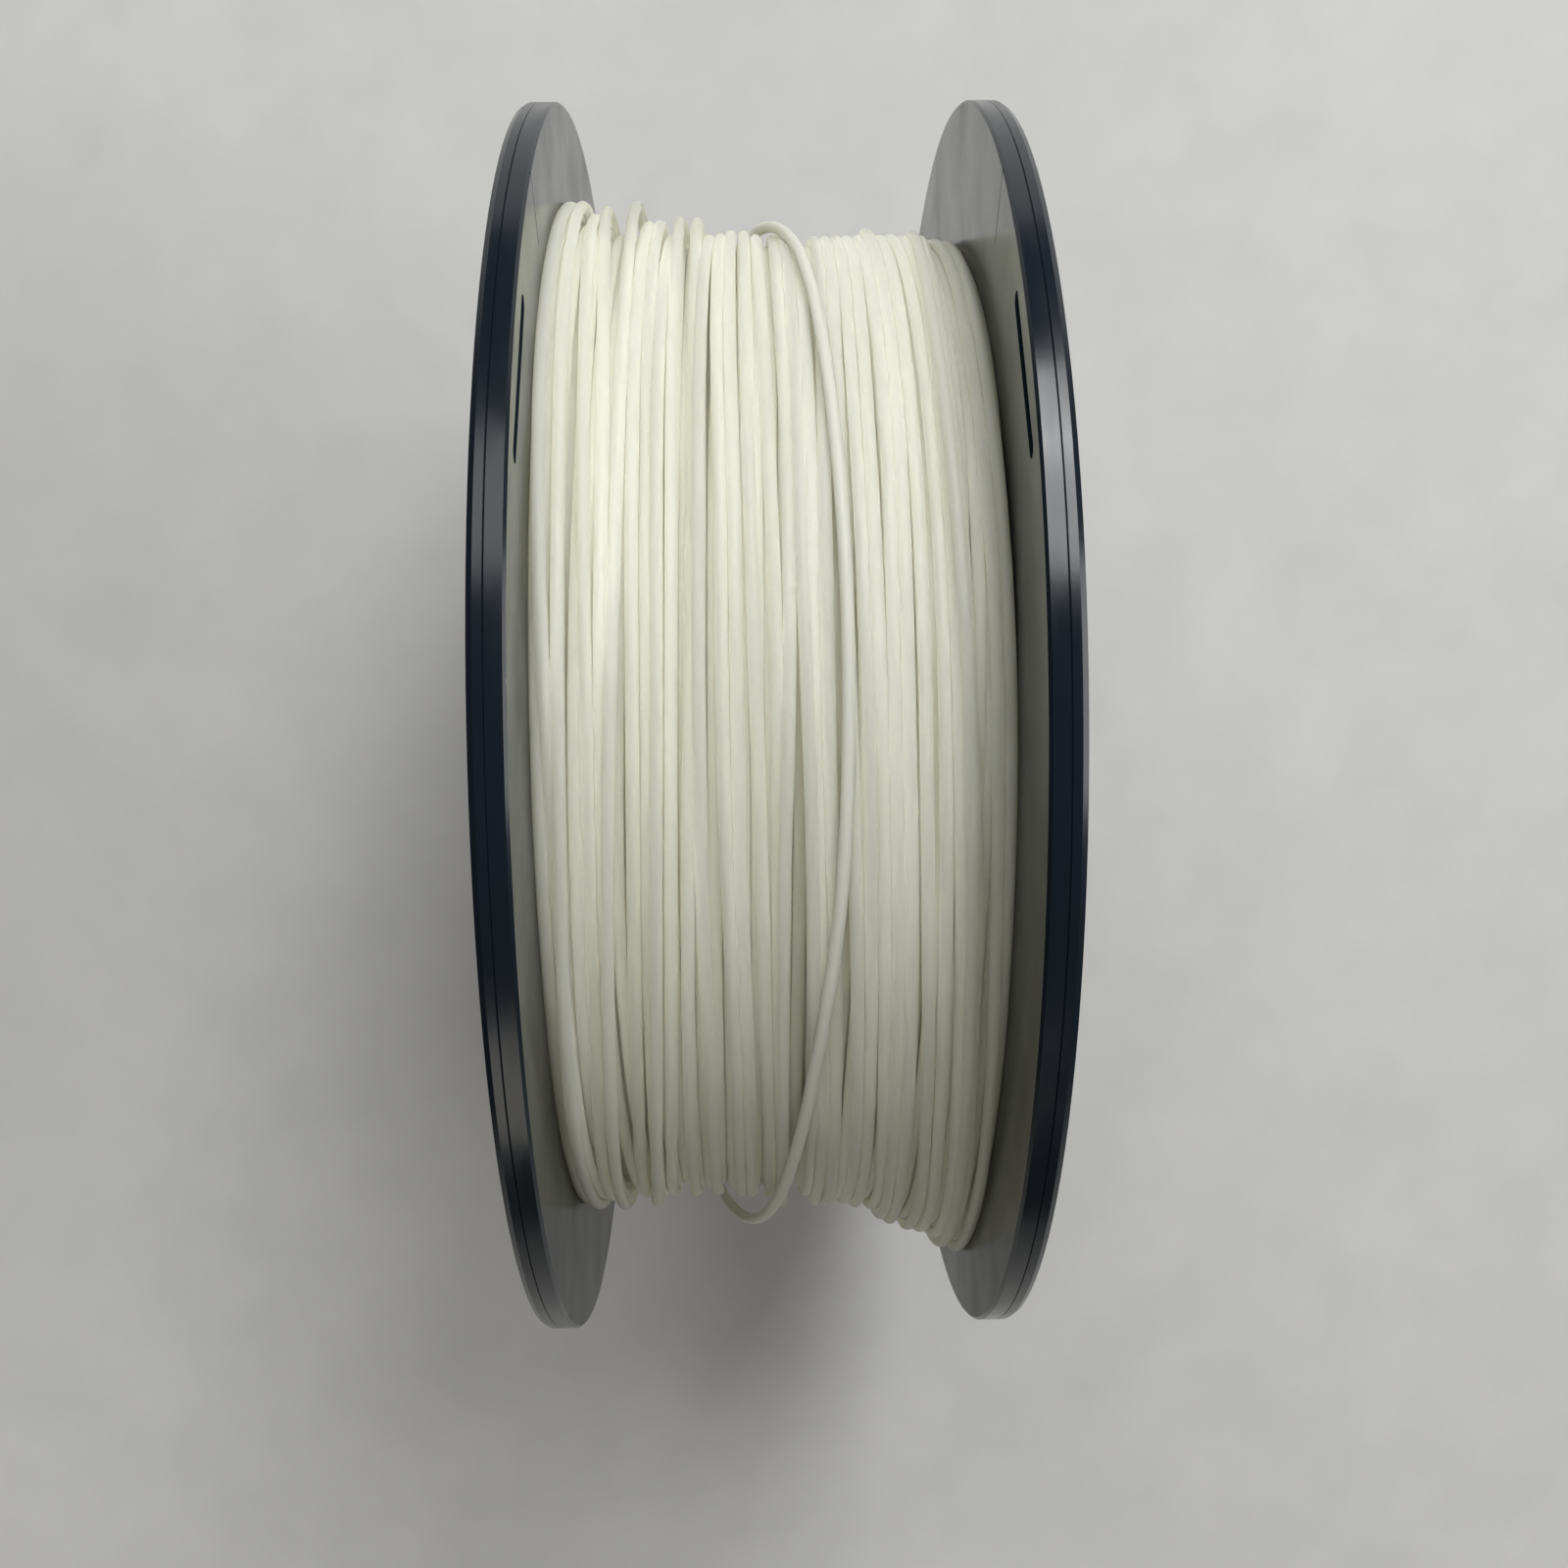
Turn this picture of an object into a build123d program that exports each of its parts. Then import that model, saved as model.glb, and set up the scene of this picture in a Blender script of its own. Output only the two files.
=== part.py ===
"""A filament spool: two snapped-together halves, the wound filament, its slack turn and a side label.

The spool's axis is X, with the hub bore's centre at the origin. Z is up, and the spool stands on both rims.
Angles round the axis are in degrees from the top (+Z) towards the back (+Y). Lengths are in millimetres.
"""

from build123d import *
from math import cos, exp, pi, radians, sin, tan
import os

# Driving dimensions
flange_diameter = 200.0
outer_width = 71.1  # over both outer faces
winding_width = 61.8  # between the flanges' inner faces
barrel_diameter = 78.0  # the drum that the filament is wound on
bore_diameter = 55.0
filament_diameter = 1.75

# Flange
flange_radius = flange_diameter / 2
inner_face = winding_width / 2
outer_face = outer_width / 2
web_outer = inner_face + 2.4  # the flange's thin disc
lip_inner_radius = 96.8  # the stiff rim starts here
rim_bevel_width = 0.75
rim_bevel_drop = 0.45
rim_groove_from_outer = 2.0
rim_groove_width = 0.24
rim_groove_depth = 0.16
rim_inner_bevel = 0.4
lip_fillet = 0.8
tie_slot_length = 25.0  # the slot that holds the filament's loose end
tie_slot_width = 2.5
tie_slot_radius = 94.3
tie_slot_angle = 29.5
witness_line_angle = 49.0  # a fine line in the moulding, from the rim inwards
witness_line_start = 89.5
witness_line_width = 0.3
witness_line_depth = 0.15
pin_mark_count = 6  # ejector pin marks on the outer face
pin_mark_radius = 3.0
pin_mark_depth = 0.15
pin_mark_circle = 70.0
pin_mark_first = 30.0  # degrees from +Y

# Hub
bore_radius = bore_diameter / 2
bore_chamfer = 0.8
bore_tube_outer = bore_radius + 2.0
barrel_radius = barrel_diameter / 2
barrel_inner = barrel_radius - 2.2
collar_outer = barrel_radius + 2.5  # stands level with the rim on the outer face
end_wall = 2.5  # closes each half of the hub at the middle of the spool
rib_count = 8
rib_thickness = 1.6
joint_overlap = 0.5  # how far an added feature runs into the body that it grows from
anchor_hole_diameter = 2.5  # the filament's first end is tucked in here
anchor_hole_x = 3.0 - inner_face
anchor_hole_angle = 120.0

# Joint between the halves
hook_angles = [0, 90, 180, 270]
hook_arc = 11.0
hook_inner = 32.6
hook_outer = 34.2
hook_barb = 0.8
hook_length = 6.5
hook_catch_gap = 0.1
window_clearance = 0.3
window_arc_clearance = 1.5
spigot_inner = 36.0
spigot_outer = 37.0
spigot_length = 1.2
spigot_clearance = 0.1

# Wound filament
winding_gap = 0.05  # to the barrel, so that the two curved faces don't cut into each other
winding_radius = 80.4  # where the turns lie tight
left_bulge = 5.2  # loosened turns stand out beside the left flange, towards the back
left_bulge_angle = 58.0
left_bulge_spread = 35.0
left_bulge_start = -13.0  # places across the width where it starts and is full
left_bulge_full = -21.0
right_bulge = 9.0  # and beside the right flange, towards the front
right_bulge_angle = -90.0
right_bulge_spread = 28.0
right_bulge_start = 6.0
right_bulge_full = 28.0
winding_sections = [-inner_face, -24.0, -17.0, -8.0, 4.0, 12.0, 22.0, inner_face]
section_points = 36

# The slack turn's route: angle, place across the width, and radius of the strand's centre
slack_route = [
    (150, -11.2, 82.3),
    (135, -9.8, 82.4),
    (120, -7.9, 82.4),
    (105, -5.4, 82.4),
    (90, -2.3, 82.4),
    (75, 1.4, 82.4),
    (60, 5.0, 82.4),
    (45, 6.9, 82.5),
    (30, 8.3, 82.5),
    (15, 9.2, 82.4),
    (0, 9.1, 82.4),
    (-15, 8.1, 82.4),
    (-30, 5.2, 82.6),
    (-45, 2.6, 83.2),
    (-60, -0.6, 84.2),
    (-75, -4.6, 84.8),
    (-90, -9.4, 84.7),
    (-105, -12.6, 83.9),
    (-120, -14.7, 83.1),
    (-135, -15.4, 82.6),
    (-150, -16.4, 82.4),
]
arc_share = 0.45  # of the shorter run beside a corner, taken by its arc

# Label
label_thickness = 0.15
label_height = 40.0
label_width = 66.0
label_corner = 4.0
label_centre_radius = 69.5


def around(angle, radius, x):
    """The point at an angle and radius about the spool's axis."""
    return Vector(x, radius * sin(radians(angle)), radius * cos(radians(angle)))


def half_outline(side):
    """One half's section as (x, radius), from the bore at mid-width round to the barrel. side is -1 or 1."""
    groove = outer_face - rim_groove_from_outer
    points = [
        (0, bore_radius),
        (outer_face - bore_chamfer, bore_radius),
        (outer_face, bore_radius + bore_chamfer),
        (outer_face, bore_tube_outer),
        (end_wall, bore_tube_outer),
        (end_wall, barrel_inner),
        (outer_face, barrel_inner),
        (outer_face, collar_outer),
        (web_outer, collar_outer),
        (web_outer, lip_inner_radius),
        (outer_face, lip_inner_radius),
        (outer_face, flange_radius - rim_bevel_drop),
        (outer_face - rim_bevel_width, flange_radius),
        (groove + rim_groove_width / 2, flange_radius),
        (groove, flange_radius - rim_groove_depth),
        (groove - rim_groove_width / 2, flange_radius),
        (inner_face + rim_inner_bevel, flange_radius),
        (inner_face, flange_radius - rim_inner_bevel),
        (inner_face, barrel_radius),
        (0, barrel_radius),
    ]
    return [(side * x, radius) for x, radius in points]


def section_plane(angle):
    """The plane through the spool's axis, whose Y direction points outwards at this angle."""
    return Plane(origin=(0, 0, 0), x_dir=(1, 0, 0), z_dir=Vector(1, 0, 0).cross(around(angle, 1, 0)))


def flange_and_hub(side):
    """What both halves share: flange, rim, barrel, bore tube, end wall, ribs and the marks in the flange."""
    with BuildPart() as body:
        with BuildSketch(Plane.XY):
            with BuildLine():
                Polyline(*half_outline(side), close=True)
            make_face()
        revolve(axis=Axis.X)
        circles = body.edges().filter_by(GeomType.CIRCLE)
        on_web = circles.filter_by_position(Axis.X, side * web_outer - 0.01, side * web_outer + 0.01)
        fillet(on_web.sort_by(SortBy.RADIUS)[-1], radius=lip_fillet)

        # ribs between the bore tube and the barrel, level with the web's outer face
        with BuildSketch(Plane.YZ.offset(side * (end_wall - joint_overlap))):
            with PolarLocations((bore_tube_outer + barrel_inner) / 2, rib_count, start_angle=180 / rib_count):
                Rectangle(barrel_inner - bore_tube_outer + 2 * joint_overlap, rib_thickness)
        extrude(amount=side * (web_outer - end_wall + joint_overlap))

        # tie slot through the web
        with BuildSketch(Plane.YZ.offset(side * inner_face)):
            with PolarLocations(tie_slot_radius, 1, start_angle=90 - tie_slot_angle):
                SlotOverall(tie_slot_length, tie_slot_width, rotation=90)
        extrude(amount=side * (web_outer - inner_face), mode=Mode.SUBTRACT)

        # fine witness line on the inner face
        line_length = flange_radius - witness_line_start
        with BuildSketch(Plane.YZ.offset(side * inner_face)):
            with PolarLocations(witness_line_start + line_length / 2, 1, start_angle=90 - witness_line_angle):
                Rectangle(line_length, witness_line_width)
        extrude(amount=side * witness_line_depth, mode=Mode.SUBTRACT)

        # ejector pin marks on the outer face of the web
        with BuildSketch(Plane.YZ.offset(side * web_outer)):
            with PolarLocations(pin_mark_circle, pin_mark_count, start_angle=pin_mark_first):
                Circle(pin_mark_radius)
        extrude(amount=-side * pin_mark_depth, mode=Mode.SUBTRACT)
    return body.part


def left_spool_half():
    """The left half, with the snap hooks, the locating spigot and the hole for the strand's first end."""
    barb_face = end_wall + hook_catch_gap
    hook = [
        (-joint_overlap, hook_inner),
        (hook_length, hook_inner),
        (hook_length, hook_outer - hook_barb / 2),
        (hook_length - hook_barb, hook_outer),
        (barb_face, hook_outer + hook_barb),
        (barb_face, hook_outer),
        (-joint_overlap, hook_outer),
    ]
    with BuildPart() as half:
        add(flange_and_hub(-1))
        for angle in hook_angles:
            with BuildSketch(section_plane(angle - hook_arc / 2)):
                with BuildLine():
                    Polyline(*hook, close=True)
                make_face()
            revolve(axis=Axis.X, revolution_arc=-hook_arc)
        with BuildSketch(Plane.YZ.offset(-joint_overlap)):
            Circle(spigot_outer)
            Circle(spigot_inner, mode=Mode.SUBTRACT)
        extrude(amount=spigot_length + joint_overlap)
        hole_middle = around(anchor_hole_angle, (barrel_inner + barrel_radius) / 2, anchor_hole_x)
        with BuildSketch(Plane(origin=hole_middle, z_dir=around(anchor_hole_angle, 1, 0))):
            Circle(anchor_hole_diameter / 2)
        extrude(amount=barrel_radius - barrel_inner, both=True, mode=Mode.SUBTRACT)
    return half


def right_spool_half():
    """The right half, with the windows that the hooks catch in and the groove for the spigot."""
    window = [
        (-window_clearance, hook_inner - window_clearance),
        (end_wall + window_clearance, hook_inner - window_clearance),
        (end_wall + window_clearance, hook_outer + window_clearance),
        (-window_clearance, hook_outer + window_clearance),
    ]
    window_arc = hook_arc + window_arc_clearance
    with BuildPart() as half:
        add(flange_and_hub(1))
        for angle in hook_angles:
            with BuildSketch(section_plane(angle - window_arc / 2)):
                with BuildLine():
                    Polyline(*window, close=True)
                make_face()
            revolve(axis=Axis.X, revolution_arc=-window_arc, mode=Mode.SUBTRACT)
        with BuildSketch(Plane.YZ):
            Circle(spigot_outer + spigot_clearance)
            Circle(spigot_inner - spigot_clearance, mode=Mode.SUBTRACT)
        extrude(amount=spigot_length + spigot_clearance, mode=Mode.SUBTRACT)
    return half


def swell(angle, middle, spread):
    """A smooth bump of height 1 round the winding."""
    away = (angle - middle + 180) % 360 - 180
    return exp(-((away / spread) ** 2) / 2)


def ramp(x, start, full):
    """0 before start, 1 after full, and smooth between."""
    share = min(max((x - start) / (full - start), 0), 1)
    return share * share * (3 - 2 * share)


def winding_surface(angle, x):
    """The outer radius of the wound turns."""
    left = left_bulge * ramp(x, left_bulge_start, left_bulge_full)
    right = right_bulge * ramp(x, right_bulge_start, right_bulge_full)
    return (
        winding_radius
        + left * swell(angle, left_bulge_angle, left_bulge_spread)
        + right * swell(angle, right_bulge_angle, right_bulge_spread)
    )


def filament_winding():
    """The outer shape of all the turns, between the flanges and on the barrel, with two loosened places."""
    angles = [n * 360 / section_points for n in range(section_points)]
    with BuildPart() as winding:
        for x in winding_sections:
            plane = Plane.YZ.offset(x)
            outline = [plane.to_local_coords(around(angle, winding_surface(angle, x), x)) for angle in angles]
            with BuildSketch(plane):
                with BuildLine():
                    Spline(*outline, periodic=True)
                make_face()
        loft()
        with BuildSketch(Plane.YZ.offset(-inner_face)):
            Circle(barrel_radius + winding_gap)
        extrude(amount=winding_width, mode=Mode.SUBTRACT)
    return winding


def slack_turn():
    """The strand's slack turn, as straight runs joined by large tangent arcs. Prints its length and bends."""
    corners = [around(angle, radius, x) for angle, x, radius in slack_route]
    runs = [after - before for before, after in zip(corners, corners[1:])]
    bends = []
    for before, after in zip(runs, runs[1:]):
        half_turn = radians(before.get_angle(after)) / 2
        bends.append(arc_share * min(before.length, after.length) / tan(half_turn))
    with BuildPart() as turn:
        with BuildLine() as path:
            FilletPolyline(*corners, radius=bends)
        strand = path.wires()[0]
        with BuildSketch(Plane(origin=strand @ 0, z_dir=strand % 0)):
            Circle(filament_diameter / 2)
        sweep()
    tube_volume = pi * (filament_diameter / 2) ** 2 * strand.length
    print(f"slack turn: length {strand.length:.1f} mm, bend radii {min(bends):.0f} to {max(bends):.0f} mm")
    print(f"slack turn: volume over section times length {turn.part.volume / tube_volume:.4f}")
    return turn


def side_label():
    """A blank rounded label on the right half's web, above the hub."""
    with BuildPart() as label:
        with BuildSketch(Plane.YZ.offset(web_outer)):
            with Locations((0, label_centre_radius)):
                RectangleRounded(label_width, label_height, label_corner)
        extrude(amount=label_thickness)
    return label


os.makedirs("parts", exist_ok=True)
pieces = {
    "left_spool_half": left_spool_half(),
    "right_spool_half": right_spool_half(),
    "filament_winding": filament_winding(),
    "slack_filament_turn": slack_turn(),
    "side_label": side_label(),
}
for name, piece in pieces.items():
    piece.part.label = name
    export_step(piece.part, f"parts/{name}.step")
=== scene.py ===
"""The looks of the filament spool: its moulded halves, wound strand, slack turn and label, in a plain studio.

Everything is in metres in the part's own frame: X is the spool's axis, Z is up and Y goes back. Numbers that
are in millimetres say so. Angles round the axis are in degrees from the top (+Z) towards the back (+Y).
"""

import math

import bpy
import numpy as np
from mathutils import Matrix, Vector


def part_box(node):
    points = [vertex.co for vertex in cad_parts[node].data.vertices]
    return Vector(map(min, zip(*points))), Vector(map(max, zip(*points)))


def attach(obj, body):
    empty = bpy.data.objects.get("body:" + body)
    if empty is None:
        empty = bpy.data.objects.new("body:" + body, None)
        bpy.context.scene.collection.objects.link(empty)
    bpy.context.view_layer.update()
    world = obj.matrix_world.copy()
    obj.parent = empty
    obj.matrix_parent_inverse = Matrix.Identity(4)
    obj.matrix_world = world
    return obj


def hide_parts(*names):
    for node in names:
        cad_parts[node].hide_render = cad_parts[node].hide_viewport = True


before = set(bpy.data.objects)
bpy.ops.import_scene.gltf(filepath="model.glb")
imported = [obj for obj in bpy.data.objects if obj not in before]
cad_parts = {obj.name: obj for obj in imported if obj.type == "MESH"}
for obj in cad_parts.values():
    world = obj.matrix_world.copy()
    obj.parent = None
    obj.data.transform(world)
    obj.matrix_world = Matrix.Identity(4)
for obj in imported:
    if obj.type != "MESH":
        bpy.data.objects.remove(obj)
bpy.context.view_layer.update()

MM = 0.001
SEED = 24
STRAND = 1.75 * MM  # filament diameter
FLANGE_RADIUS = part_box("left_spool_half")[1].y
INNER_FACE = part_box("filament_winding")[1].x  # of the right flange; the left one is at the same distance


# ---------------------------------------------------------------- camera, floor and light

CAMERA_LENS, CAMERA_SENSOR = 37.75, 36.0  # in millimetres
CAMERA_PLACE = (-3.575, 14.224, 286.873)  # in millimetres
CAMERA_TURN = (-5.0199, -1.3019, -0.6652)  # in degrees, from looking straight down
CAMERA_NEAR = 0.01

FLOOR_HALF = 2.0

SKY_STRENGTH = 0.03
LIGHT_DISTANCE = 1.7
WHITE = (1.0, 1.0, 1.0)
CREAM = (1.0, 0.95, 0.85)
# name, elevation, azimuth, size, power and colour; azimuth 0 is behind the spool and 90 is to its right
LIGHTS = [
    ("high_window", 50, 22, 0.7, 15.0, WHITE),
    ("low_window", 35, 17, 0.45, 8.0, WHITE),
    ("left_window", 50, 340, 0.7, 5.5, WHITE),
    ("right", 20, 85, 0.9, 11.5, WHITE),
    ("front", 30, 185, 0.7, 3.6, CREAM),
]


def make_camera():
    """Close above the spool and looking almost straight down on it."""
    data = bpy.data.cameras.new("camera")
    data.lens = CAMERA_LENS
    data.sensor_width = CAMERA_SENSOR
    data.clip_start = CAMERA_NEAR
    camera = bpy.data.objects.new("camera", data)
    camera.location = Vector(CAMERA_PLACE) * MM
    camera.rotation_euler = [math.radians(angle) for angle in CAMERA_TURN]
    bpy.context.scene.collection.objects.link(camera)
    bpy.context.scene.camera = camera


def add_light(name, elevation, azimuth, size, power, colour):
    """A square soft light that faces the spool."""
    data = bpy.data.lights.new(name, "AREA")
    data.energy = power
    data.color = colour
    data.size = size
    up = math.radians(elevation)
    turned = math.radians(azimuth)
    towards = Vector((math.cos(up) * math.sin(turned), math.cos(up) * math.cos(turned), math.sin(up)))
    light = bpy.data.objects.new(name, data)
    light.location = towards * LIGHT_DISTANCE
    light.rotation_euler = towards.to_track_quat("Z", "Y").to_euler()
    bpy.context.scene.collection.objects.link(light)


def make_lights():
    """Three windows behind the spool, a low light on its right, a weak warm one in front and a faint sky."""
    world = bpy.data.worlds.new("studio")
    world.use_nodes = True
    background = world.node_tree.nodes["Background"]
    background.inputs["Color"].default_value = (*WHITE, 1)
    background.inputs["Strength"].default_value = SKY_STRENGTH
    bpy.context.scene.world = world
    for light in LIGHTS:
        add_light(*light)


def make_floor():
    """A pale square under the rims."""
    mesh = bpy.data.meshes.new("floor")
    corners = [(-1, -1), (1, -1), (1, 1), (-1, 1)]
    points = [(x * FLOOR_HALF, y * FLOOR_HALF, -FLANGE_RADIUS) for x, y in corners]
    mesh.from_pydata(points, [], [(0, 1, 2, 3)])
    floor = bpy.data.objects.new("floor", mesh)
    bpy.context.scene.collection.objects.link(floor)
    mesh.materials.append(floor_material())


# ---------------------------------------------------------------- materials


class Nodes:
    """A short way to write a material's node tree."""

    def __init__(self, name):
        self.material = bpy.data.materials.new(name)
        self.material.use_nodes = True
        self.tree = self.material.node_tree
        self.shader = self.tree.nodes["Principled BSDF"]

    def add(self, kind):
        return self.tree.nodes.new("ShaderNode" + kind)

    def link(self, source, target):
        self.tree.links.new(source, target)

    def noise(self, scale, detail, squeeze=(1, 1, 1)):
        """Noise fixed to the piece, drawn out along the axes that have a small squeeze."""
        place = self.add("TexCoord")
        mapping = self.add("Mapping")
        mapping.inputs["Scale"].default_value = squeeze
        texture = self.add("TexNoise")
        texture.inputs["Scale"].default_value = scale
        texture.inputs["Detail"].default_value = detail
        self.link(place.outputs["Object"], mapping.inputs["Vector"])
        self.link(mapping.outputs["Vector"], texture.inputs["Vector"])
        return texture.outputs["Fac"]

    def ramp(self, source, low, high, low_value, high_value):
        """Maps the source's range from low to high onto low_value to high_value."""
        node = self.add("MapRange")
        node.inputs["From Min"].default_value = low
        node.inputs["From Max"].default_value = high
        node.inputs["To Min"].default_value = low_value
        node.inputs["To Max"].default_value = high_value
        self.link(source, node.inputs["Value"])
        return node.outputs["Result"]

    def mix_colour(self, share, first, second):
        """Goes from the first colour to the second as the share goes from 0 to 1."""
        node = self.add("Mix")
        node.data_type = "RGBA"
        self.link(share, node.inputs["Factor"])
        node.inputs["A"].default_value = (*first, 1)
        node.inputs["B"].default_value = (*second, 1)
        return node.outputs["Result"]

    def bump(self, height, distance, strength, below=None):
        """The surface's direction with this height on it, on top of another bump if one is given."""
        node = self.add("Bump")
        node.inputs["Distance"].default_value = distance
        node.inputs["Strength"].default_value = strength
        self.link(height, node.inputs["Height"])
        if below is not None:
            self.link(below, node.inputs["Normal"])
        return node.outputs["Normal"]


def floor_material():
    """Pale and almost matt, with faint mottling."""
    made = Nodes("pale_floor")
    mottle = made.noise(scale=55, detail=6)
    colour = made.mix_colour(mottle, (0.56, 0.56, 0.547), (0.665, 0.663, 0.648))
    made.link(colour, made.shader.inputs["Base Color"])
    made.shader.inputs["Roughness"].default_value = 0.75
    made.shader.inputs["Specular IOR Level"].default_value = 0.25
    return made.material


def spool_material():
    """Glossy moulded plastic, black with a little navy, with faint clouds, scuffs, flow marks and grain."""
    made = Nodes("glossy_black_plastic")
    shader = made.shader
    cloud = made.noise(scale=35, detail=4)
    colour = made.mix_colour(cloud, (0.0065, 0.0105, 0.0165), (0.0105, 0.0155, 0.0225))
    made.link(colour, shader.inputs["Base Color"])
    scuff = made.noise(scale=260, detail=5, squeeze=(1, 0.25, 0.25))
    made.link(made.ramp(scuff, 0.35, 0.75, low_value=0.15, high_value=0.26), shader.inputs["Roughness"])
    flow = made.bump(made.noise(scale=120, detail=3), distance=0.04 * MM, strength=0.3)
    grain = made.bump(made.noise(scale=1500, detail=2), distance=0.01 * MM, strength=0.4, below=flow)
    made.link(grain, shader.inputs["Normal"])
    shader.inputs["Specular IOR Level"].default_value = 0.33
    return made.material


def filament_material(name, dark, pale, spread):
    """Satin, milky strand with fine drawn lines. Its colour goes from dark to pale, and light spreads in it
    over about the spread."""
    made = Nodes(name)
    shader = made.shader
    tone = made.noise(scale=420, detail=3, squeeze=(1, 0.06, 0.06))
    made.link(made.mix_colour(tone, dark, pale), shader.inputs["Base Color"])
    drawn = made.noise(scale=3000, detail=2, squeeze=(1, 0.04, 0.04))
    made.link(made.ramp(drawn, 0.3, 0.7, low_value=0.42, high_value=0.56), shader.inputs["Roughness"])
    grain = made.bump(made.noise(scale=2600, detail=3), distance=0.02 * MM, strength=0.5)
    lines = made.bump(drawn, distance=0.02 * MM, strength=0.5, below=grain)
    made.link(lines, shader.inputs["Normal"])
    shader.inputs["Specular IOR Level"].default_value = 0.4
    shader.subsurface_method = "BURLEY"
    shader.inputs["Subsurface Weight"].default_value = 1.0
    shader.inputs["Subsurface Radius"].default_value = (1.0, 0.95, 0.8)
    shader.inputs["Subsurface Scale"].default_value = spread
    return made.material


def wound_filament_material():
    """The strand in the winding, where light goes on from turn to turn."""
    return filament_material("ivory_filament", (0.555, 0.56, 0.492), (0.605, 0.613, 0.544), 7.5 * MM)


def lone_filament_painted_paler_material():
    """The strand by itself, in which light spreads less far. Its colour is painted paler than the wound
    strand's, as painted light that stands in for the light the wound turns pass on to each other.
    """
    return filament_material("ivory_filament_alone_painted_paler", (0.75, 0.75, 0.65), (0.79, 0.79, 0.69), 3.5 * MM)


def label_material():
    """White plastic film with a faint waviness from the glue under it."""
    made = Nodes("blank_label_film")
    shader = made.shader
    tone = made.noise(scale=60, detail=3)
    made.link(made.mix_colour(tone, (0.78, 0.78, 0.76), (0.84, 0.84, 0.82)), shader.inputs["Base Color"])
    sheen = made.noise(scale=500, detail=3)
    made.link(made.ramp(sheen, 0.3, 0.7, low_value=0.3, high_value=0.42), shader.inputs["Roughness"])
    waves = made.bump(made.noise(scale=90, detail=3), distance=0.06 * MM, strength=0.4)
    made.link(waves, shader.inputs["Normal"])
    return made.material


# ---------------------------------------------------------------- the wound strand

# the winding's outer surface, as part.py has it, but with a lower left bulge that starts nearer its flange
WINDING_RADIUS = 80.4 * MM
LEFT_BULGE = 4.2 * MM
LEFT_BULGE_ANGLE, LEFT_BULGE_SPREAD = 58.0, 35.0
LEFT_BULGE_START, LEFT_BULGE_FULL = -18.5 * MM, -26.5 * MM
RIGHT_BULGE = 9.0 * MM
RIGHT_BULGE_ANGLE, RIGHT_BULGE_SPREAD = -90.0, 28.0
RIGHT_BULGE_START, RIGHT_BULGE_FULL = 6 * MM, 28 * MM
# smaller hollows, which only the strands show
RIGHT_DIP = 2.6 * MM
RIGHT_DIP_ANGLE, RIGHT_DIP_SPREAD = 20.0, 40.0
RIGHT_DIP_START, RIGHT_DIP_FULL = 21 * MM, 29 * MM
HOLLOW = 3.0 * MM
HOLLOW_ANGLE, HOLLOW_SPREAD = -86.0, 18.0
HOLLOW_X, HOLLOW_WIDTH = -11.5 * MM, 3.0 * MM

STATIONS = 120  # places round one turn where the strand is laid
STEP = 360 / STATIONS
SIDES = 12  # of the strand's section
EDGE_X = INNER_FACE - STRAND / 2
FIRST_ANGLE = 180.0  # where the strand starts, underneath; from there it goes round the back to the top

# the plain ring under the modelled turns
CORE_DEPTH = 3.7 * MM  # below the outer surface
CORE_BORE = 39.05 * MM  # clear of the barrel
CORE_RINGS, CORE_SIDES = 40, 96

# the two layers under the outer turns: the deeper one is only there for the next one to lie on
DEEP_TURNS, DEEP_UNEVENNESS = 34, 0.05
UPPER_TURNS, UPPER_UNEVENNESS = 32, 0.22
LAYER_RISE = 1.5 * MM  # from one layer to the next
BASE_DROP = STRAND / 2 + 2.1 * LAYER_RISE  # from the outer surface down to the deeper layer's centre
LEAST_SPACING, MOST_SPACING = 0.3, 2.2  # between turns, as shares of the usual spacing
EDGE_OVERRUN = 1.03  # a guide's width as a share of the channel's, past which the flanges stop the strand
WANDER = 1.2  # millimetres by which a guide strays, before it is smoothed
WANDER_PASSES = 60

# how the strand finds its place at each station
SHIFTS = np.linspace(-0.09 * MM, 0.09 * MM, 7)  # the sideways moves it may make from one station to the next
SHIFT_COST = 2.0  # of a move unlike the last one
DRIFT_KEPT = 0.85  # share of the last move that the next one tends to keep
LOOSE_FOLLOW, CLOSE_FOLLOW = 0.2, 2.5  # how closely it keeps to its guide
TIGHTEN_PASSES = 120
RADIUS_PASSES, PLACE_PASSES = 6, 12  # of smoothing, once it is laid

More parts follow.
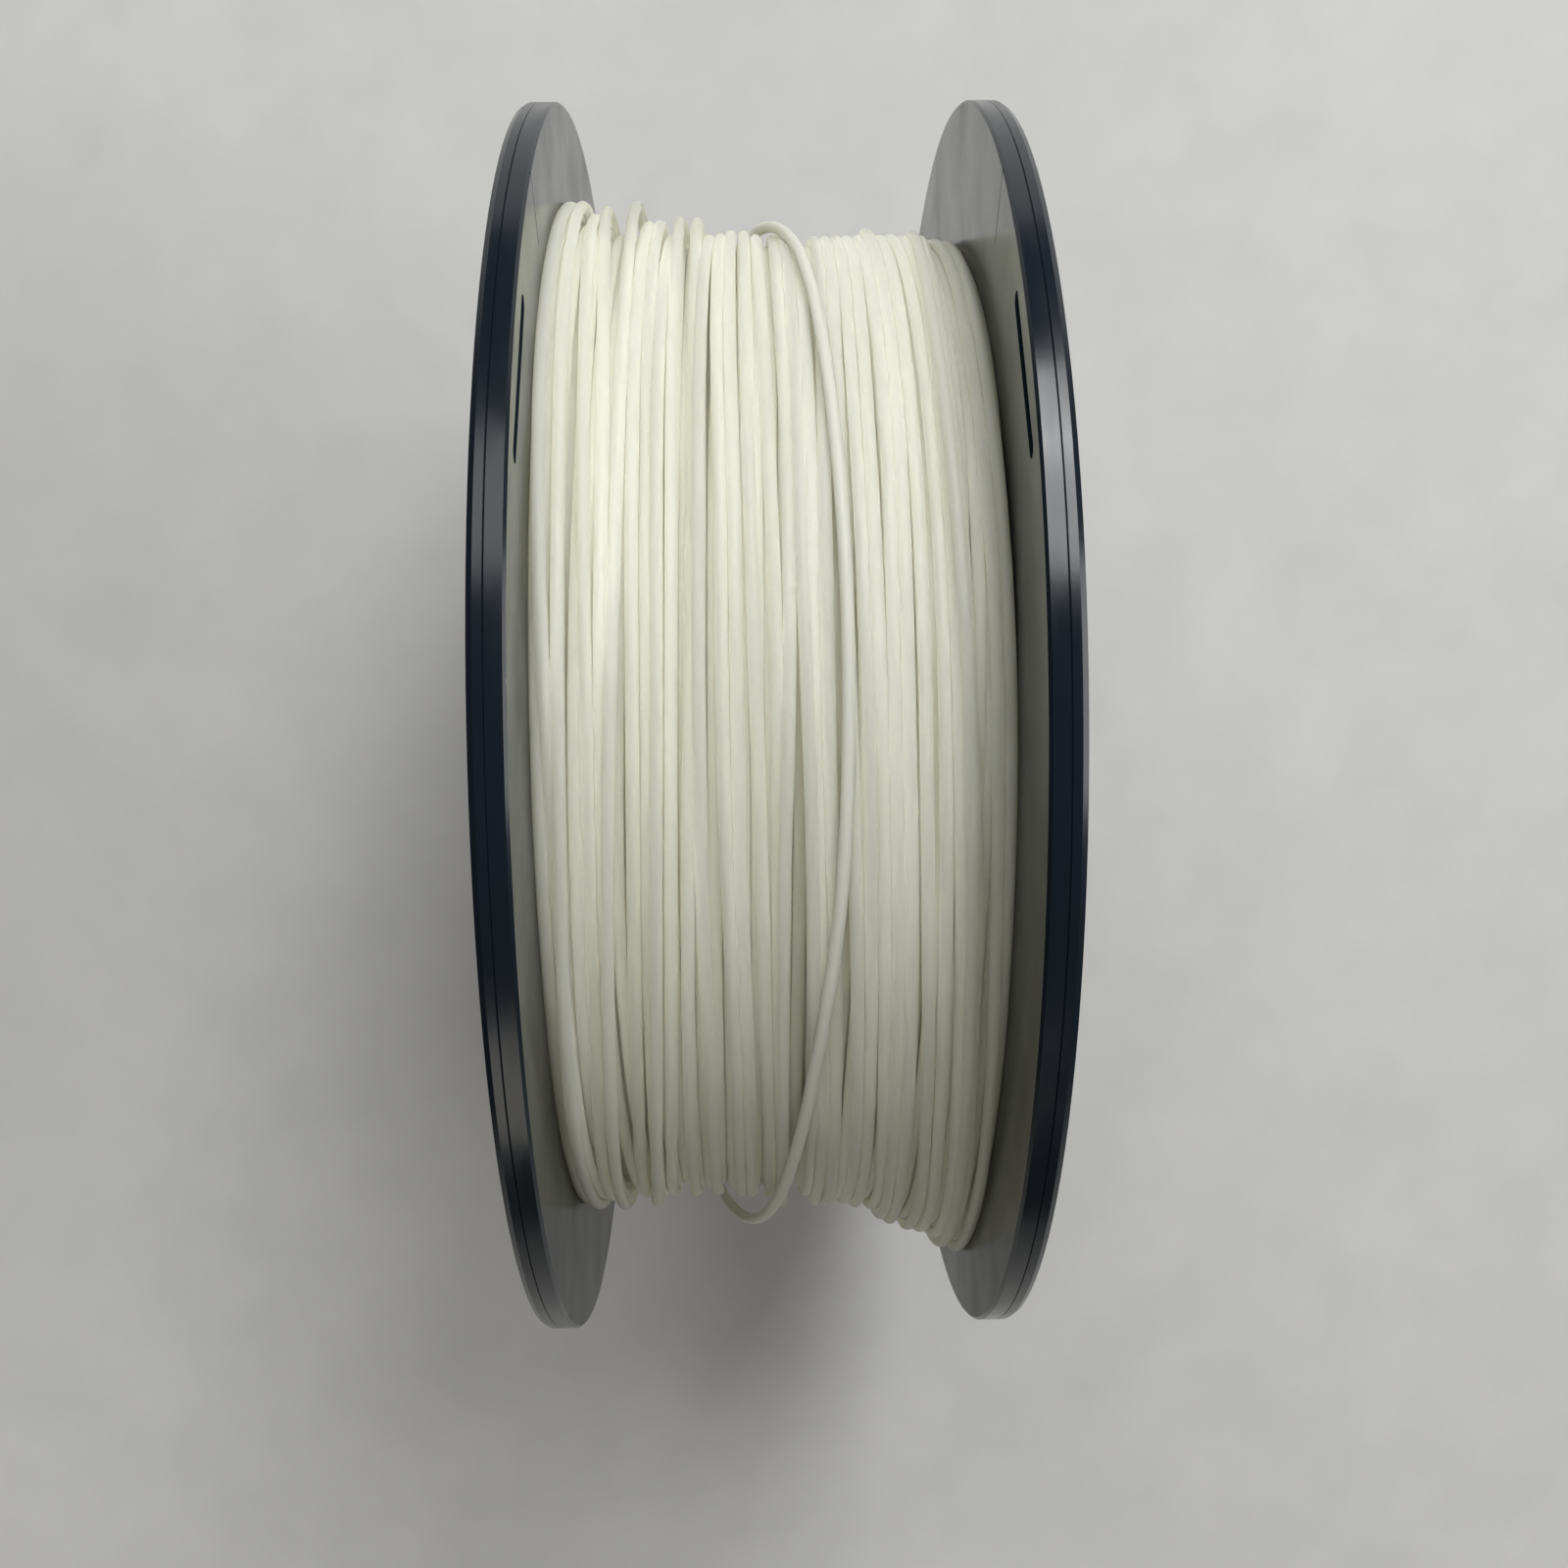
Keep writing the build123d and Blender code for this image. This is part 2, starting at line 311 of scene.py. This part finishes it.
# The outermost turns where they cross the top, roughly from left to right: (angle, place across the width in
# millimetres). They are laid in this order, so a later turn lies over an earlier one where they cross.
OUTER_TURNS = [
    [(60, -30.6), (20, -30.6), (0, -30.2), (-20, -29.9), (-40, -30.2), (-60, -30.3)],
    [(60, -30.4), (40, -30.2), (20, -29.6), (0, -28.8), (-20, -28.2), (-40, -27.6), (-60, -27.9)],
    [
        (76, -29.3), (60, -28.1), (40, -27.5), (20, -27.1),
        (0, -27.2), (-20, -28.0), (-40, -28.6), (-60, -28.7),
    ],
    [
        (76, -27.0), (60, -25.4), (40, -24.4), (20, -24.1),
        (0, -23.9), (-20, -24.3), (-40, -25.3), (-60, -26.8),
    ],
    [
        (76, -25.3), (60, -23.3), (40, -22.0), (20, -21.9),
        (0, -22.1), (-20, -22.6), (-40, -23.7), (-60, -24.7),
    ],
    [
        (76, -19.9), (60, -19.5), (40, -19.9), (24, -20.1),
        (0, -21.3), (-20, -22.0), (-40, -23.3), (-60, -24.4),
    ],
    [(60, -18.0), (40, -18.2), (20, -18.0), (0, -17.9), (-20, -18.6), (-40, -19.5), (-60, -21.0)],
    [(60, -16.5), (40, -16.4), (20, -16.3), (0, -16.2), (-20, -16.9), (-40, -17.4), (-60, -18.2)],
    [
        (60, -15.2), (40, -15.3), (20, -15.0), (0, -15.1),
        (-20, -16.0), (-40, -16.9), (-60, -18.5), (-80, -19.7),
    ],
    [(60, -13.2), (40, -13.0), (20, -12.9), (0, -13.2), (-20, -14.0), (-40, -14.7), (-60, -16.5)],
    [(60, -10.4), (40, -10.3), (20, -10.4), (0, -11.0), (-20, -11.9), (-40, -12.4), (-60, -12.7)],
    [(60, -9.6), (40, -9.6), (20, -9.5), (0, -10.0), (-20, -10.1), (-30, -9.4), (-40, -8.9), (-60, -9.2)],
    [(60, -7.6), (40, -7.2), (20, -6.5), (0, -6.8), (-20, -6.2), (-40, -5.6), (-60, -5.6)],
    [(60, -5.6), (40, -5.3), (20, -4.9), (0, -4.7), (-20, -4.9), (-40, -4.5), (-60, -3.6)],
    [(60, -3.2), (40, -2.9), (20, -2.8), (0, -2.4), (-20, -1.8), (-40, -1.2), (-60, -1.0)],
    [(60, -1.4), (40, -0.9), (30, -0.5), (20, 0.2), (0, 0.2), (-20, 0.0), (-40, 0.2), (-60, 0.4)],
    [(60, 4.4), (50, 4.9), (40, 5.0), (20, 4.9), (0, 5.0), (-20, 5.6), (-40, 6.4), (-60, 6.6)],
    [(60, 1.4), (40, 1.8), (20, 2.3), (10, 2.0), (0, 1.2), (-10, 0.5), (-20, 0.3), (-40, 0.6), (-60, 0.8)],
    [(60, 2.8), (40, 3.1), (20, 3.6), (0, 4.4), (-20, 4.8), (-40, 4.9), (-60, 5.0)],
    [(60, 7.8), (40, 7.4), (20, 6.3), (0, 5.8), (-20, 6.5), (-40, 7.8), (-60, 8.2)],
    [(60, 9.3), (40, 9.0), (20, 8.9), (0, 9.8), (-20, 10.2), (-40, 11.0), (-60, 10.9)],
    [(60, 10.7), (40, 10.9), (20, 11.3), (0, 11.5), (-20, 12.1), (-40, 12.9), (-60, 13.2)],
    [(60, 12.4), (40, 12.9), (20, 12.9), (0, 12.6), (-20, 13.4), (-40, 14.6), (-60, 15.9)],
    [(60, 14.6), (40, 15.1), (20, 15.1), (0, 14.8), (-20, 15.2), (-40, 16.0), (-60, 17.2)],
    [(60, 16.4), (40, 16.8), (20, 16.6), (0, 16.3), (-20, 16.6), (-40, 17.5), (-60, 18.8)],
    [(60, 18.3), (40, 18.6), (20, 18.8), (0, 18.9), (-20, 19.5), (-40, 20.5), (-60, 22.0)],
    [(76, 25.6), (60, 23.4), (40, 24.0), (20, 24.3), (0, 24.9), (-20, 25.9), (-40, 26.6), (-60, 28.4)],
    [(76, 19.9), (60, 20.4), (40, 20.6), (20, 21.2), (0, 21.5), (-20, 21.7), (-40, 22.3), (-60, 23.9)],
    [(76, 21.5), (60, 21.4), (40, 21.9), (20, 22.5), (0, 23.3), (-20, 23.8), (-40, 24.9), (-60, 26.3)],
    [
        (76, 23.8), (60, 21.9), (50, 22.2), (40, 22.4), (20, 23.2),
        (10, 23.9), (0, 24.5), (-20, 25.2), (-40, 25.6), (-60, 27.3),
    ],
    [(60, 29.2), (40, 29.4), (20, 29.7), (0, 30.0), (-20, 30.0), (-40, 30.0), (-60, 30.0)],
    [(60, 27.2), (40, 27.5), (20, 27.9), (0, 28.3), (-20, 28.9), (-40, 29.4), (-60, 30.0)],
]
OUTER_PASSES = 24  # of smoothing along the outer turns' guide
HIDDEN_ANGLE = 98.0  # past this angle on either side the outer turns change places
# where an outer turn stands clear of the others: turn, angle, radius of its centre in millimetres, and spread
RAISED = [
    (2, 74, 85.2, 12),
    (4, 76, 84.6, 9),
    (5, 76, 85.2, 13),
    (7, 76, 82.2, 12),
    (9, 76, 83.0, 9),
    (10, 76, 82.9, 9),
]
RAISED_FALL = 1.5  # millimetres that such a turn comes down by, one spread away


def swell(angle, middle, spread):
    """1 at the middle angle, falling away to 0 on both sides of it."""
    away = (angle - middle + 180) % 360 - 180
    return np.exp(-((away / spread) ** 2) / 2)


def ease(x, start, full):
    """0 at the start, 1 where full, and a soft rise between them."""
    share = np.clip((x - start) / (full - start), 0, 1)
    return share * share * (3 - 2 * share)


def winding_surface(angle, x):
    """The wound turns' mean outer radius."""
    left = LEFT_BULGE * ease(x, LEFT_BULGE_START, LEFT_BULGE_FULL)
    right = RIGHT_BULGE * ease(x, RIGHT_BULGE_START, RIGHT_BULGE_FULL)
    dip = RIGHT_DIP * ease(x, RIGHT_DIP_START, RIGHT_DIP_FULL)
    hollow = HOLLOW * np.exp(-(((x - HOLLOW_X) / HOLLOW_WIDTH) ** 2))
    return (
        WINDING_RADIUS
        + left * swell(angle, LEFT_BULGE_ANGLE, LEFT_BULGE_SPREAD)
        + right * swell(angle, RIGHT_BULGE_ANGLE, RIGHT_BULGE_SPREAD)
        - dip * swell(angle, RIGHT_DIP_ANGLE, RIGHT_DIP_SPREAD)
        - hollow * swell(angle, HOLLOW_ANGLE, HOLLOW_SPREAD)
    )


def smooth(values, passes):
    """Evens out neighbouring values, but keeps the first and the last."""
    out = values.copy()
    for _ in range(passes):
        out[1:-1] = (out[:-2] + 2 * out[1:-1] + out[2:]) / 4
    return out


class Winding:
    """One strand, laid turn by turn, with each turn resting on whatever lies under it."""

    def __init__(self, turns):
        self.x = np.zeros((turns, STATIONS))
        self.radius = np.zeros((turns, STATIONS))
        self.count = 0  # of stations laid

    def rest_radius(self, angle, places):
        """The radius at which the strand's centre would rest, at each of these places across the width."""
        turn, station = divmod(self.count, STATIONS)
        rest = winding_surface(angle, places) - BASE_DROP
        across = np.abs(places[:, None] - self.x[None, :turn, station])
        over = self.radius[None, :turn, station] + np.sqrt(np.clip(STRAND**2 - across**2, 0, None))
        over[across >= STRAND] = 0
        return np.maximum(rest, over.max(axis=1, initial=0))

    def lay(self, guide, lift, follow):
        """Lays the strand near its guide, which has a place across the width for each station, so that it
        falls into the grooves below, and no lower than lift."""
        offset = 0.0
        drift = 0.0
        first = self.count
        for target, least in zip(guide, lift):
            offsets = offset + SHIFTS
            places = np.clip(target + offsets, -EDGE_X, EDGE_X)
            angle = FIRST_ANGLE - self.count * STEP
            rest = np.maximum(self.rest_radius(angle, places), least)
            cost = rest + follow * offsets**2 / MM + SHIFT_COST * (SHIFTS - drift) ** 2 / MM
            best = int(np.argmin(cost))
            offset = offsets[best]
            drift = DRIFT_KEPT * SHIFTS[best]
            turn, station = divmod(self.count, STATIONS)
            self.x[turn, station] = places[best]
            self.radius[turn, station] = rest[best]
            self.count += 1
        self.tighten(first)

    def tighten(self, first):
        """Pulls what was laid since first taut, so that it bridges hollows and rounds humps."""
        laid = slice(first, self.count)
        radius = self.radius.reshape(-1)
        x = self.x.reshape(-1)
        taut = radius[laid].copy()
        shrink = math.cos(math.radians(STEP))
        for _ in range(TIGHTEN_PASSES):
            taut[1:-1] = np.maximum(radius[laid][1:-1], (taut[:-2] + taut[2:]) / 2 * shrink)
        radius[laid] = smooth(taut, RADIUS_PASSES)
        x[laid] = smooth(x[laid], PLACE_PASSES)

    def press(self, angle, x, radius):
        """Keeps every strand under one that crosses at this angle."""
        station = round((FIRST_ANGLE - angle) / STEP) % STATIONS
        across = np.abs(self.x[:, station] - x)
        near = across < STRAND
        under = radius - np.sqrt(STRAND**2 - across[near] ** 2)
        self.radius[near, station] = np.minimum(self.radius[near, station], under)


def even_guide(dice, turns, unevenness, direction):
    """The guide for one layer: from flange to flange, with turns that aren't quite evenly spaced. It runs to
    the right if the direction is 1, and to the left if it is -1."""
    spacing = np.clip(dice.normal(1, unevenness, turns), LEAST_SPACING, MOST_SPACING)
    ends = np.concatenate([[0], np.cumsum(spacing)])
    ends = (ends / ends[-1] * 2 - 1) * EDGE_X * EDGE_OVERRUN * direction
    count = turns * STATIONS
    along = np.arange(count) / STATIONS
    wander = smooth(dice.normal(0, 1, count), WANDER_PASSES) * WANDER * MM
    return np.clip(np.interp(along, np.arange(turns + 1), ends) + wander, -EDGE_X, EDGE_X)


def outer_guide():
    """The guide through all the outer turns, which run on into each other underneath, and their lift."""
    knots = []
    for number, turn in enumerate(OUTER_TURNS):
        seen = [(HIDDEN_ANGLE, turn[0][1]), *turn, (-HIDDEN_ANGLE, turn[-1][1])]
        knots += [((FIRST_ANGLE - angle) / 360 + number, place * MM) for angle, place in seen]
    count = len(OUTER_TURNS) * STATIONS
    along = np.arange(count) / STATIONS
    guide = smooth(np.interp(along, *zip(*knots)), OUTER_PASSES)
    lift = np.zeros(count)
    for number, angle, radius, spread in RAISED:
        away = (along - number) * 360 - (FIRST_ANGLE - angle)
        lift = np.maximum(lift, (radius - (away / spread) ** 2 * RAISED_FALL) * MM)
    return guide, lift


def strand_skin(angles, xs, radii):
    """The points and faces of a closed tube that follows the strand."""
    turned = np.radians(angles)
    outward = np.stack([np.zeros_like(turned), np.sin(turned), np.cos(turned)], 1)
    centre = np.stack([xs, radii * np.sin(turned), radii * np.cos(turned)], 1)
    along = np.gradient(centre, axis=0)
    along /= np.linalg.norm(along, axis=1)[:, None]
    across = np.cross(along, outward)
    across /= np.linalg.norm(across, axis=1)[:, None]
    outward = np.cross(across, along)
    section = (np.arange(SIDES) * 2 * math.pi / SIDES)[:, None]
    ring = across[:, None, :] * np.cos(section) + outward[:, None, :] * np.sin(section)
    points = (centre[:, None, :] + ring * STRAND / 2).reshape(-1, 3)
    faces = wall_faces(len(centre), SIDES)
    faces.append(list(range(SIDES))[::-1])
    faces.append([(len(centre) - 1) * SIDES + n for n in range(SIDES)])
    return points, faces


def core_skin():
    """The points and faces of the plain closed ring that stands in for the turns under the modelled ones."""
    xs = np.linspace(-INNER_FACE, INNER_FACE, CORE_RINGS)[:, None]
    angles = (np.arange(CORE_SIDES) * 360 / CORE_SIDES)[None, :]
    radius = winding_surface(angles, xs) - CORE_DEPTH
    xs = np.concatenate([xs[:1], xs, xs[-1:]])
    bore = np.full((1, CORE_SIDES), CORE_BORE)
    radius = np.concatenate([bore, radius, bore])
    turned = np.radians(angles)
    xs = np.broadcast_to(xs, radius.shape)
    points = np.stack([xs, radius * np.sin(turned), radius * np.cos(turned)], -1).reshape(-1, 3)
    faces = wall_faces(len(xs), CORE_SIDES)
    last = len(points) - CORE_SIDES  # of the last ring, which joins the first one along the barrel
    for side in range(CORE_SIDES):
        beside = (side + 1) % CORE_SIDES
        faces.append([last + side, last + beside, beside, side])
    return points, faces


def wall_faces(rings, sides):
    """The faces between rings of points that follow each other."""
    first = np.arange(rings - 1)[:, None] * sides
    side = np.arange(sides)
    here = first + side
    beside = first + (side + 1) % sides
    return np.stack([here, beside, beside + sides, here + sides], -1).reshape(-1, 4).tolist()


def lay_turns():
    """The whole strand, laid and pressed, and the first of its stations that is modelled."""
    dice = np.random.default_rng(SEED)
    winding = Winding(DEEP_TURNS + UPPER_TURNS + len(OUTER_TURNS))
    deep = even_guide(dice, DEEP_TURNS, DEEP_UNEVENNESS, direction=1)
    winding.lay(deep, np.zeros(len(deep)), LOOSE_FOLLOW)
    first = winding.count
    upper = even_guide(dice, UPPER_TURNS, UPPER_UNEVENNESS, direction=-1)
    winding.lay(upper, np.zeros(len(upper)), LOOSE_FOLLOW)
    winding.lay(*outer_guide(), CLOSE_FOLLOW)
    for angle, x, radius in slack_places():
        winding.press(angle, x, radius)
    return winding, first


def wind_filament(material):
    """The winding: the outer turns and the layer under them, on a plain core."""
    winding, first = lay_turns()
    angles = FIRST_ANGLE - np.arange(first, winding.count) * STEP
    points, faces = strand_skin(angles, winding.x.reshape(-1)[first:], winding.radius.reshape(-1)[first:])
    core_points, core_faces = core_skin()
    faces += [[n + len(points) for n in face] for face in core_faces]
    mesh = bpy.data.meshes.new("filament_turns")
    mesh.from_pydata(np.concatenate([points, core_points]).tolist(), [], faces)
    mesh.polygons.foreach_set("use_smooth", [True] * len(mesh.polygons))
    mesh.materials.append(material)
    piece = bpy.data.objects.new("filament_turns", mesh)
    bpy.context.scene.collection.objects.link(piece)
    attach(piece, "root")
    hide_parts("filament_winding")


# ---------------------------------------------------------------- the slack turn

# angle, place across the width and radius of the strand's centre in millimetres, as part.py has them
SLACK_ROUTE = [
    (150, -11.2, 82.3),
    (135, -9.8, 82.4),
    (120, -7.9, 82.4),
    (105, -5.4, 82.4),
    (90, -2.3, 82.4),
    (75, 1.4, 82.4),
    (60, 5.0, 82.4),
    (45, 6.9, 82.5),
    (30, 8.3, 82.5),
    (15, 9.2, 82.4),
    (0, 9.1, 82.4),
    (-15, 8.1, 82.4),
    (-30, 5.2, 82.6),
    (-45, 2.6, 83.2),
    (-60, -0.6, 84.2),
    (-75, -4.6, 84.8),
    (-90, -9.4, 84.7),
    (-105, -12.6, 83.9),
    (-120, -14.7, 83.1),
    (-135, -15.4, 82.6),
    (-150, -16.4, 82.4),
]
SLACK_SECTION_STEPS, SLACK_CURVE_STEPS = 4, 12  # Blender's settings for the section and along the curve


def slack_places():
    """The slack turn's angle, place and radius at each station that it passes."""
    angles, places, radii = np.array(SLACK_ROUTE[::-1]).T  # np.interp wants the angles to rise
    for angle in np.arange(angles[0], angles[-1] + STEP / 2, STEP):
        yield angle, np.interp(angle, angles, places) * MM, np.interp(angle, angles, radii) * MM


def slack_turn(material):
    """The strand's slack turn, a smooth curve of the filament's thickness."""
    curve = bpy.data.curves.new("slack_turn", "CURVE")
    curve.dimensions = "3D"
    curve.bevel_depth = STRAND / 2
    curve.bevel_resolution = SLACK_SECTION_STEPS
    curve.resolution_u = SLACK_CURVE_STEPS
    curve.use_fill_caps = True
    spline = curve.splines.new("NURBS")
    spline.points.add(len(SLACK_ROUTE) - 1)
    for point, (angle, x, radius) in zip(spline.points, SLACK_ROUTE):
        turned = math.radians(angle)
        point.co = (x * MM, radius * math.sin(turned) * MM, radius * math.cos(turned) * MM, 1)
    spline.order_u = 3
    spline.use_endpoint_u = True
    curve.materials.append(material)
    piece = bpy.data.objects.new("slack_turn", curve)
    bpy.context.scene.collection.objects.link(piece)
    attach(piece, "root")
    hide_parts("slack_filament_turn")


# ---------------------------------------------------------------- the scene


def dress(node, material):
    """Gives a piece of the frame its material."""
    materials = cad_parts[node].data.materials
    materials.clear()
    materials.append(material)


bpy.context.scene.view_settings.view_transform = "Standard"
make_camera()
# the slack turn gets the lone strand's copy of the filament, painted paler to stand in for the light that the
# wound turns pass on to each other
slack_turn(lone_filament_painted_paler_material())
wind_filament(wound_filament_material())
plastic = spool_material()
dress("left_spool_half", plastic)
dress("right_spool_half", plastic)
dress("side_label", label_material())
make_floor()
make_lights()
